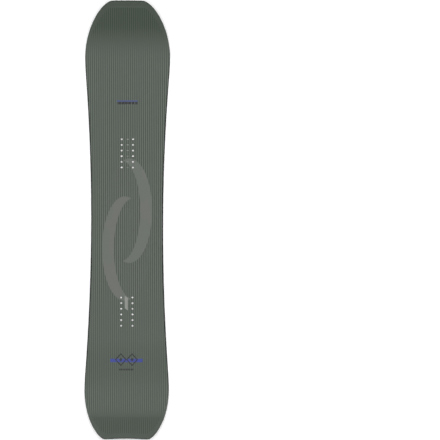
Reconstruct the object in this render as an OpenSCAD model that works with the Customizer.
// All-mountain snowboard deck, lying base down with its nose toward +Y.
// The origin is under the middle of the board, on the surface that it rests on.
// Every layer is cut from one plan outline and one side profile, so the layers meet face to face.

/* [Plan outline] */
// Length from nose tip to tail tip
board_len = 1550; // [1500:1:1600]
// Width at the widest point of the nose
nose_w = 300.6; // [296:0.2:306]
// Width at the waist
waist_w = 254.4; // [250:0.2:258]
// Width at the widest point of the tail
tail_w = 298.6; // [294:0.2:304]
// Distance from the nose tip back to the widest point
nose_to_wide = 200; // [190:1:210]
// Distance from the tail tip forward to the widest point
tail_to_wide = 174.4; // [168:0.2:184]
// Distance of the waist behind mid-length
waist_back = 8; // [0:1:20]
// Sidecut radius in front of the waist
sidecut_front = 6600; // [6400:50:7200]
// Sidecut radius behind the waist
sidecut_rear = 7200; // [7000:50:7800]
// Length over which the sidecut eases into each widest point
ease_len = 78; // [60:1:100]
// Half width of the nearly straight end of the nose
nose_corner_x = 61; // [50:1:70]
// Half width between the two corners of the tail
tail_corner_x = 77.6; // [70:0.2:85]
// Depth of the shallow scoop in the tail end
tail_scoop = 2.7; // [1:0.1:5]

/* [Side profile] */
// Height of the camber under the flat middle
camber_h = 4; // [2:0.5:8]
// Distance of the front contact line from mid-length
contact_front = 545; // [520:1:565]
// Distance of the rear contact line from mid-length
contact_rear = 575; // [555:1:590]
// Height of the nose tip's underside
nose_rise = 46; // [35:1:60]
// Height of the tail tip's underside
tail_rise = 34; // [28:1:50]
// Length over which the nose bends up
nose_bend = 145; // [120:1:170]
// Length over which the tail bends up
tail_bend = 130; // [100:1:150]

/* [Layers] */
// Thickness of the running base
base_t = 1.3; // [1.2:0.1:1.6]
// Thickness of each glass laminate
laminate_t = 0.9; // [0.8:0.1:1]
// Thickness of the wood core in the middle
core_mid_t = 6; // [5:0.1:7]
// Thickness of the wood core at the tips
core_tip_t = 1.8; // [1.5:0.1:2.5]
// Thickness of the topsheet
topsheet_t = 0.5; // [0.4:0.05:0.7]

/* [Edges and sidewalls] */
// Height of the steel edge
edge_h = 2; // [1.8:0.1:2.1]
// Width of the steel edge seen from below
edge_w = 2; // [1.8:0.1:2.4]
// Reach of the edge's anchoring teeth from the outline
tooth_reach = 6.8; // [6:0.1:6.9]
// Distance from one tooth to the next
tooth_pitch = 28; // [20:1:60]
// Length of one tooth along the edge
tooth_len = 19; // [10:1:19]
// Width of the rubber foil and of the raised laminate margin
foil_w = 7; // [7:0.1:7.5]
// Width of the plastic sidewall
sidewall_w = 8; // [7.8:0.1:12]
// Upright part of the sidewall below its bevel
sidewall_land = 1; // [0.5:0.1:1.2]
// Width of the bevel in the middle of the board
bevel_mid = 3.8; // [2:0.1:4.5]

/* [Tip rims] */
// Width of the rim at each tip, as both faces show it
rim_w = 19.5; // [16:0.5:24]
// Reach of the rim's tongue between the laminates
rim_tongue = 6; // [4:0.5:10]

/* [Core] */
// Width of each softwood strip
strip_w = 22; // [20:0.5:23]

/* [Binding inserts] */
// Distance between the two packs of inserts
stance = 560; // [540:5:570]
// Distance of the stance's centre behind mid-length
stance_back = 44; // [40:1:46]
// Distance between the two columns
column_gap = 40; // [38:1:42]
// Distance between neighbouring rows
row_gap = 20; // [18:1:25]
// Rows in each pack
rows = 6; // [2:1:6]
// Bore radius, for an M6 thread
thread_r = 3; // [2.5:0.1:3.2]
// Outer radius of the barrel
barrel_r = 4.1; // [3.9:0.1:5]
// Radius of the flange
flange_r = 8; // [7:0.1:8]
// Thickness of the flange
flange_t = 1; // [0.8:0.1:1.5]
// Depth of the barrel's mouth below the topsheet's face
insert_sink = 0.3; // [0.1:0.1:0.5]
// Solid floor left under the bore
bore_floor = 0.7; // [0.5:0.1:1]
// Thickness of the mat under each pack
mat_t = 0.4; // [0.3:0.1:0.6]

/* [Base inlays] */
// Length of the blue bar across the nose
bar_len = 227; // [180:1:240]
// Width of the blue bar
bar_w = 20; // [12:1:26]
// Distance of the blue bar in front of mid-length
bar_y = 617; // [610:1:640]
// Number of plain chevrons along the base
chevrons = 6; // [3:1:6]
// Half width of a chevron
chevron_half_w = 88; // [60:1:100]
// Thickness of a chevron along the board
chevron_len = 84; // [60:1:100]
// How far a chevron's point stands in front of its ends
chevron_point = 58; // [20:1:70]

/* [Hidden] */
STRIPS = 9;
STRIP_NODES = [for (i = [1 : STRIPS]) str("core_strip_", i)];
$fn = 48;

RIGHT = 1;
LEFT = -1;

// How many straight pieces stand for each stretch of a curve
side_steps = 60;
flank_steps = 22;
crown_steps = 8;
rocker_steps = 18;

half_len = board_len / 2;
wide_front = half_len - nose_to_wide;
wide_rear = half_len - tail_to_wide;
front_pack = stance / 2 - stance_back;
rear_pack = -stance / 2 - stance_back;

// The middle stays level over both packs, with this much to spare past the end rows
pack_half = (rows - 1) * row_gap / 2;
level_spare = 45;
level_front = front_pack + pack_half + level_spare;
level_rear = -rear_pack + pack_half + level_spare;
core_end = half_len - rim_w;

// A level is [height above the base's underside, share of the core's thickness to add]
UNDERSIDE = [0, 0];
BASE_TOP = [base_t, 0];
EDGE_TOP = [edge_h, 0];
PLATE_TOP = [base_t + laminate_t, 0];
MARGIN_TOP = [base_t + 2 * laminate_t, 0];
CORE_TOP = [base_t + laminate_t, 1];
LAMINATE_TOP = [base_t + 2 * laminate_t, 1];
TOP = [base_t + 2 * laminate_t + topsheet_t, 1];

// Shape of a tip's curve: [handle at the widest point, half width at the corner, handle at
// the corner, angle there, how far the corner stands past the middle of the tip]
NOSE_OUTER = [93, nose_corner_x, 46.5, 22.3, -2.2];
NOSE_INNER = [37, nose_corner_x - 3, 72, 35, -3];
TAIL_OUTER = [108, tail_corner_x, 20.7, 8, tail_scoop - 0.13];
TAIL_INNER = [68, tail_corner_x - 9, 30, 8, tail_scoop - 0.13];
corner_handle = 6;
crown_handle = 36;

// --- Curves ---

function clamp01(u) = max(0, min(1, u));
function smooth(u) = let (c = clamp01(u)) c * c * (3 - 2 * c);
function reversed(list) = [for (i = [len(list) - 1 : -1 : 0]) list[i]];

function bezier(a, b, c, d, steps, first = 0) =
    [for (i = [first : steps])
        let (t = i / steps, s = 1 - t)
        s * s * s * a + 3 * s * s * t * b + 3 * s * t * t * c + t * t * t * d];

// Half width on the sidecut's arc, a distance off the waist
function arc_half(off, radius) = waist_w / 2 + radius - sqrt(radius * radius - off * off);

// Cubic from one width and slope to another width with no slope
function eased(u, from, slope, to) =
    from * (1 + 2 * u) * (1 - u) * (1 - u)
    + slope * ease_len * u * (1 - u) * (1 - u)
    + to * u * u * (3 - 2 * u);

function side_half(off, radius, wide_off, wide_half) =
    let (start = wide_off - ease_len, slope = start / sqrt(radius * radius - start * start))
    off < start
        ? arc_half(off, radius)
        : eased((off - start) / ease_len, arc_half(start, radius), slope, wide_half);

// Half width of the board between its widest points
function half_w(y) = y + waist_back > 0
    ? side_half(y + waist_back, sidecut_front, wide_front + waist_back, nose_w / 2)
    : side_half(-y - waist_back, sidecut_rear, wide_rear - waist_back, tail_w / 2);

// One side of a tip, from its widest point to its middle, with y counted outward
function tip_side(half, wide_y, tip_y, shape) =
    let (corner = [shape[1], tip_y + shape[4]], dir = [cos(shape[3]), -sin(shape[3])])
    concat(
        bezier([half, wide_y], [half, wide_y + shape[0]], corner + shape[2] * dir, corner,
            flank_steps),
        bezier(corner, corner - corner_handle * dir, [crown_handle, tip_y], [0, tip_y],
            crown_steps, 1)
    );

// Insets are [at the middle of the side, at the widest points, at the tips]
BASE_INSET = [edge_w, edge_w, rim_w];
PLATE_INSET = [foil_w, foil_w, rim_w];
CORE_INSET = [sidewall_w, sidewall_w, rim_w + rim_tongue];
TOP_INSET = [bevel_mid, edge_w, rim_w];

function nose_side(start, inset) =
    tip_side(nose_w / 2 - start, wide_front, half_len - inset, inset == 0 ? NOSE_OUTER : NOSE_INNER);

function tail_side(start, inset) =
    [for (p = tip_side(tail_w / 2 - start, wide_rear, half_len - tail_scoop - inset,
        inset == 0 ? TAIL_OUTER : TAIL_INNER)) [p[0], -p[1]]];

side_ys = [for (i = [0 : side_steps]) wide_front - (wide_front + wide_rear) * i / side_steps];

function side_inset(y, inset) =
    let (end = y > 0 ? wide_front : wide_rear, level = y > 0 ? level_front : level_rear)
    inset[0] + (inset[1] - inset[0]) * smooth((abs(y) - level) / (end - level));

function side_line(inset) = [for (y = side_ys) [half_w(y) - side_inset(y, inset), y]];

function mirrored(points) = [for (p = points) [-p[0], p[1]]];

// The right half of a layer's outline, from the middle of the nose to the middle of the tail.
// tip_start is the inset at which the tips' curves begin. The side's own ends stand for their
// first points.
function half_outline(inset, tip_start) =
    let (nose = nose_side(tip_start, inset[2]), tail = tail_side(tip_start, inset[2]))
    concat(
        [for (i = [len(nose) - 1 : -1 : 1]) nose[i]],
        side_line(inset),
        [for (i = [1 : len(tail) - 1]) tail[i]]
    );

function whole_outline(inset, tip_start) =
    let (right = half_outline(inset, tip_start), left = mirrored(reversed(right)))
    concat(right, [for (i = [1 : len(left) - 2]) left[i]]);

// Height of the underside a distance past its contact line
function rocker(off, run, bend, rise) =
    let (slope = rise / (run - bend / 2))
    off < bend ? slope * off * off / (2 * bend) : slope * (off - bend / 2);

function underside(y) =
    y > contact_front ? rocker(y - contact_front, half_len - contact_front, nose_bend, nose_rise)
    : y < -contact_rear ? rocker(-y - contact_rear, half_len - contact_rear, tail_bend, tail_rise)
    : y > 0 ? camber_h * (1 - smooth((y - level_front) / (contact_front - level_front)))
    : camber_h * (1 - smooth((-y - level_rear) / (contact_rear - level_rear)));

function core_t(y) =
    let (level = y > 0 ? level_front : level_rear)
    core_mid_t + (core_tip_t - core_mid_t) * smooth((abs(y) - level) / (core_end - level));

function height(y, level) = underside(y) + level[0] + level[1] * core_t(y);

overshoot = 4;
profile_ys = concat(
    [for (i = [0 : rocker_steps - 1])
        half_len + overshoot - (half_len + overshoot - wide_front) * i / rocker_steps],
    side_ys,
    [for (i = [1 : rocker_steps])
        -wide_rear - (half_len + overshoot - wide_rear) * i / rocker_steps]
);

// --- Building blocks ---

// The space between two levels, over the board's whole length and more than its width
module band(low, high) {
    reach = nose_w / 2 + overshoot;
    translate([-reach, 0, 0])
        rotate([90, 0, 90])
            linear_extrude(2 * reach)
                polygon(concat(
                    [for (y = profile_ys) [y, height(y, low)]],
                    [for (y = reversed(profile_ys)) [y, height(y, high)]]
                ));
}

// Whatever lies between two levels inside a plan shape
module layer(low, high) {
    tall = nose_rise + tail_rise;
    intersection() {
        band(low, high);
        translate([0, 0, -overshoot])
            linear_extrude(tall)
                children();
    }
}

module outline(inset, tip_start) {
    polygon(whole_outline(inset, tip_start));
}

// A strip along one side, between two distances in from the outline, short of each end by a gap
module side_strip(side, outer, inner, end_gap = 0) {
    ys = [for (y = side_ys) max(end_gap - wide_rear, min(wide_front - end_gap, y))];
    mirror([side == LEFT ? 1 : 0, 0])
        polygon(concat(
            [for (y = ys) [half_w(y) - outer, y]],
            [for (y = reversed(ys)) [half_w(y) - inner, y]]
        ));
}

// A horseshoe round one tip, from the outline in to an inset
module tip_ring(outer, inner) {
    polygon(concat(
        outer,
        [for (i = [len(outer) - 2 : -1 : 0]) [-outer[i][0], outer[i][1]]],
        mirrored(inner),
        [for (i = [len(inner) - 2 : -1 : 0]) inner[i]]
    ));
}

// Whatever is given, at every insert of one pack
module at_inserts(pack_y) {
    for (column = [-0.5, 0.5])
        for (row = [0 : rows - 1])
            translate([column * column_gap, pack_y - pack_half + row * row_gap, 0])
                children();
}

module at_all_inserts() {
    at_inserts(front_pack)
        children();
    at_inserts(rear_pack)
        children();
}

// Heights of the level middle
plate_z = camber_h + base_t + laminate_t;
flange_z = plate_z + mat_t;
barrel_z = flange_z + flange_t;
face_z = camber_h + TOP[0] + core_mid_t;
mouth_z = face_z - insert_sink;
hole_clearance = 0.1;

module insert_shafts() {
    at_all_inserts()
        translate([0, 0, barrel_z])
            cylinder(r = barrel_r + hole_clearance, h = face_z - barrel_z + 1);
}

mat_size = [column_gap + 24, 2 * pack_half + 24, mat_t];

module mat_shape(pack_y) {
    translate([0, pack_y, plate_z + mat_t / 2])
        cube(mat_size, center = true);
}

// --- Top ---

module topsheet() {
    color([0.38, 0.405, 0.38])
        difference() {
            layer(LAMINATE_TOP, TOP)
                outline(TOP_INSET, edge_w);
            insert_shafts();
        }
}

module upper_laminate() {
    color([0.72, 0.76, 0.66])
        difference() {
            layer(CORE_TOP, LAMINATE_TOP)
                outline(TOP_INSET, edge_w);
            insert_shafts();
        }
}

// --- Core ---

module core_piece(from_x, to_x) {
    difference() {
        intersection() {
            layer(PLATE_TOP, CORE_TOP)
                outline(CORE_INSET, sidewall_w);
            translate([from_x, -half_len, 0])
                cube([to_x - from_x, board_len, nose_rise + tail_rise]);
        }
        if (abs(from_x + to_x) / 2 < column_gap) {
            mat_shape(front_pack);
            mat_shape(rear_pack);
            insert_shafts();
            at_all_inserts()
                translate([0, 0, flange_z])
                    cylinder(r = flange_r, h = flange_t);
        }
    }
}

rail_x = STRIPS * strip_w / 2;

// Strips run from the left rail to the right one, poplar and paulownia in turn
module core_strip(number) {
    from_x = (number - 1) * strip_w - rail_x;
    color(number % 2 == 0 ? [0.86, 0.76, 0.58] : [0.80, 0.66, 0.46])
        core_piece(from_x, from_x + strip_w);
}

module core_rail(side) {
    outer_x = nose_w / 2;
    color([0.70, 0.52, 0.34])
        core_piece(side == LEFT ? -outer_x : rail_x, side == LEFT ? -rail_x : outer_x);
}

// --- Sides ---

// Corners of the sidewall's section at one station, from its inner foot round to its inner top
function sidewall_section(y) =
    let (x = half_w(y), foot = height(y, MARGIN_TOP), top = height(y, CORE_TOP))
    [
        [x - sidewall_w, y, foot],
        [x, y, foot],
        [x, y, foot + sidewall_land],
        [x - side_inset(y, TOP_INSET), y, top],
        [x - sidewall_w, y, top]
    ];

module sidewall(side) {
    corners = 5;
    last = side_steps * corners;
    color([0.05, 0.05, 0.055])
        mirror([side == LEFT ? 1 : 0, 0, 0])
            polyhedron(
                points = [for (y = side_ys) each sidewall_section(y)],
                faces = concat(
                    [[for (k = [0 : corners - 1]) k]],
                    [for (i = [0 : side_steps - 1], k = [0 : corners - 1])
                        let (a = i * corners, n = (k + 1) % corners)
                        each [[a + k, a + corners + k, a + n], [a + n, a + corners + k, a + corners + n]]],
                    [[for (k = [corners - 1 : -1 : 0]) last + k]]
                )
            );
}

module edge_teeth(side) {
    run = wide_front + wide_rear;
    teeth = floor((run - tooth_len) / tooth_pitch);
    first_y = -wide_rear + (run - teeth * tooth_pitch) / 2;
    mirror([side == LEFT ? 1 : 0, 0])
        for (i = [0 : teeth]) {
            y0 = first_y + i * tooth_pitch - tooth_len / 2;
            y1 = y0 + tooth_len;
            polygon([
                [half_w(y0) - edge_w / 2, y0],
                [half_w(y1) - edge_w / 2, y1],
                [half_w(y1) - tooth_reach, y1],
                [half_w(y0) - tooth_reach, y0]
            ]);
        }
}

module edge(side) {
    color([0.42, 0.43, 0.45]) {
        layer(UNDERSIDE, EDGE_TOP)
            side_strip(side, 0, edge_w);
        layer(BASE_TOP, EDGE_TOP)
            edge_teeth(side);
    }
}

module edge_foil(side) {
    foil_setback = 0.5;
    color([0.12, 0.12, 0.13])
        layer(EDGE_TOP, PLATE_TOP)
            side_strip(side, foil_setback, foil_w);
}

// --- Tips ---

module rim(outer, shallow, deep) {
    color([0.40, 0.42, 0.40]) {
        layer(UNDERSIDE, PLATE_TOP)
            tip_ring(outer, shallow);
        layer(PLATE_TOP, CORE_TOP)
            tip_ring(outer, deep);
        layer(CORE_TOP, TOP)
            tip_ring(outer, shallow);
    }
}

module nose_rim() {
    rim(nose_side(0, 0), nose_side(edge_w, rim_w), nose_side(sidewall_w, rim_w + rim_tongue));
}

module tail_rim() {
    rim(tail_side(0, 0), tail_side(edge_w, rim_w), tail_side(sidewall_w, rim_w + rim_tongue));
}

// --- Underside ---

// The laminate's margins climb over the edge foils, and stop just short of the rims
module lower_laminate() {
    margin_gap = 1;
    color([0.66, 0.70, 0.60]) {
        layer(BASE_TOP, PLATE_TOP)
            outline(PLATE_INSET, edge_w);
        for (side = [LEFT, RIGHT])
            layer(PLATE_TOP, MARGIN_TOP)
                side_strip(side, 0, sidewall_w, margin_gap);
    }
}

module blue_bar_shape() {
    translate([0, bar_y])
        square([bar_len, bar_w], center = true);
}

// Chevrons are spread evenly between the contact lines, pointing at the nose
module chevron_shapes() {
    run = contact_front + contact_rear;
    tail_y = -(chevron_len + chevron_point) / 2;
    for (i = [0 : chevrons - 1])
        translate([0, (i + 0.5) * run / chevrons - contact_rear])
            polygon([
                [-chevron_half_w, tail_y],
                [0, tail_y + chevron_point],
                [chevron_half_w, tail_y],
                [chevron_half_w, tail_y + chevron_len],
                [0, -tail_y],
                [-chevron_half_w, tail_y + chevron_len]
            ]);
}

module base() {
    color([0.10, 0.10, 0.11])
        layer(UNDERSIDE, BASE_TOP)
            difference() {
                outline(BASE_INSET, edge_w);
                blue_bar_shape();
                chevron_shapes();
            }
}

module blue_base_inlay() {
    color([0.22, 0.38, 0.95])
        layer(UNDERSIDE, BASE_TOP)
            blue_bar_shape();
}

module plain_base_inlays() {
    color([0.05, 0.05, 0.055])
        layer(UNDERSIDE, BASE_TOP)
            chevron_shapes();
}

// --- Binding inserts ---

module insert_blank() {
    mouth_chamfer = 0.4;
    difference() {
        union() {
            translate([0, 0, flange_z])
                cylinder(r = flange_r, h = flange_t);
            translate([0, 0, flange_z])
                cylinder(r = barrel_r, h = mouth_z - flange_z);
        }
        translate([0, 0, flange_z + bore_floor])
            cylinder(r = thread_r, h = mouth_z - flange_z);
        translate([0, 0, mouth_z - mouth_chamfer])
            cylinder(r1 = thread_r, r2 = thread_r + 2 * mouth_chamfer, h = 2 * mouth_chamfer);
    }
}

module inserts(pack_y) {
    color([0.80, 0.81, 0.82])
        at_inserts(pack_y)
            insert_blank();
}

module insert_mat(pack_y) {
    color([0.16, 0.17, 0.17])
        mat_shape(pack_y);
}

// --- Assembly ---

topsheet();
upper_laminate();
lower_laminate();
for (i = [1 : STRIPS])
    core_strip(i);
core_rail(LEFT);  // left_core_rail
core_rail(RIGHT);  // right_core_rail
sidewall(LEFT);  // left_sidewall
sidewall(RIGHT);  // right_sidewall
edge(LEFT);  // left_edge
edge(RIGHT);  // right_edge
edge_foil(LEFT);  // left_edge_foil
edge_foil(RIGHT);  // right_edge_foil
nose_rim();
tail_rim();
base();
blue_base_inlay();
plain_base_inlays();
inserts(front_pack);  // front_inserts
inserts(rear_pack);  // rear_inserts
insert_mat(front_pack);  // front_insert_mat
insert_mat(rear_pack);  // rear_insert_mat
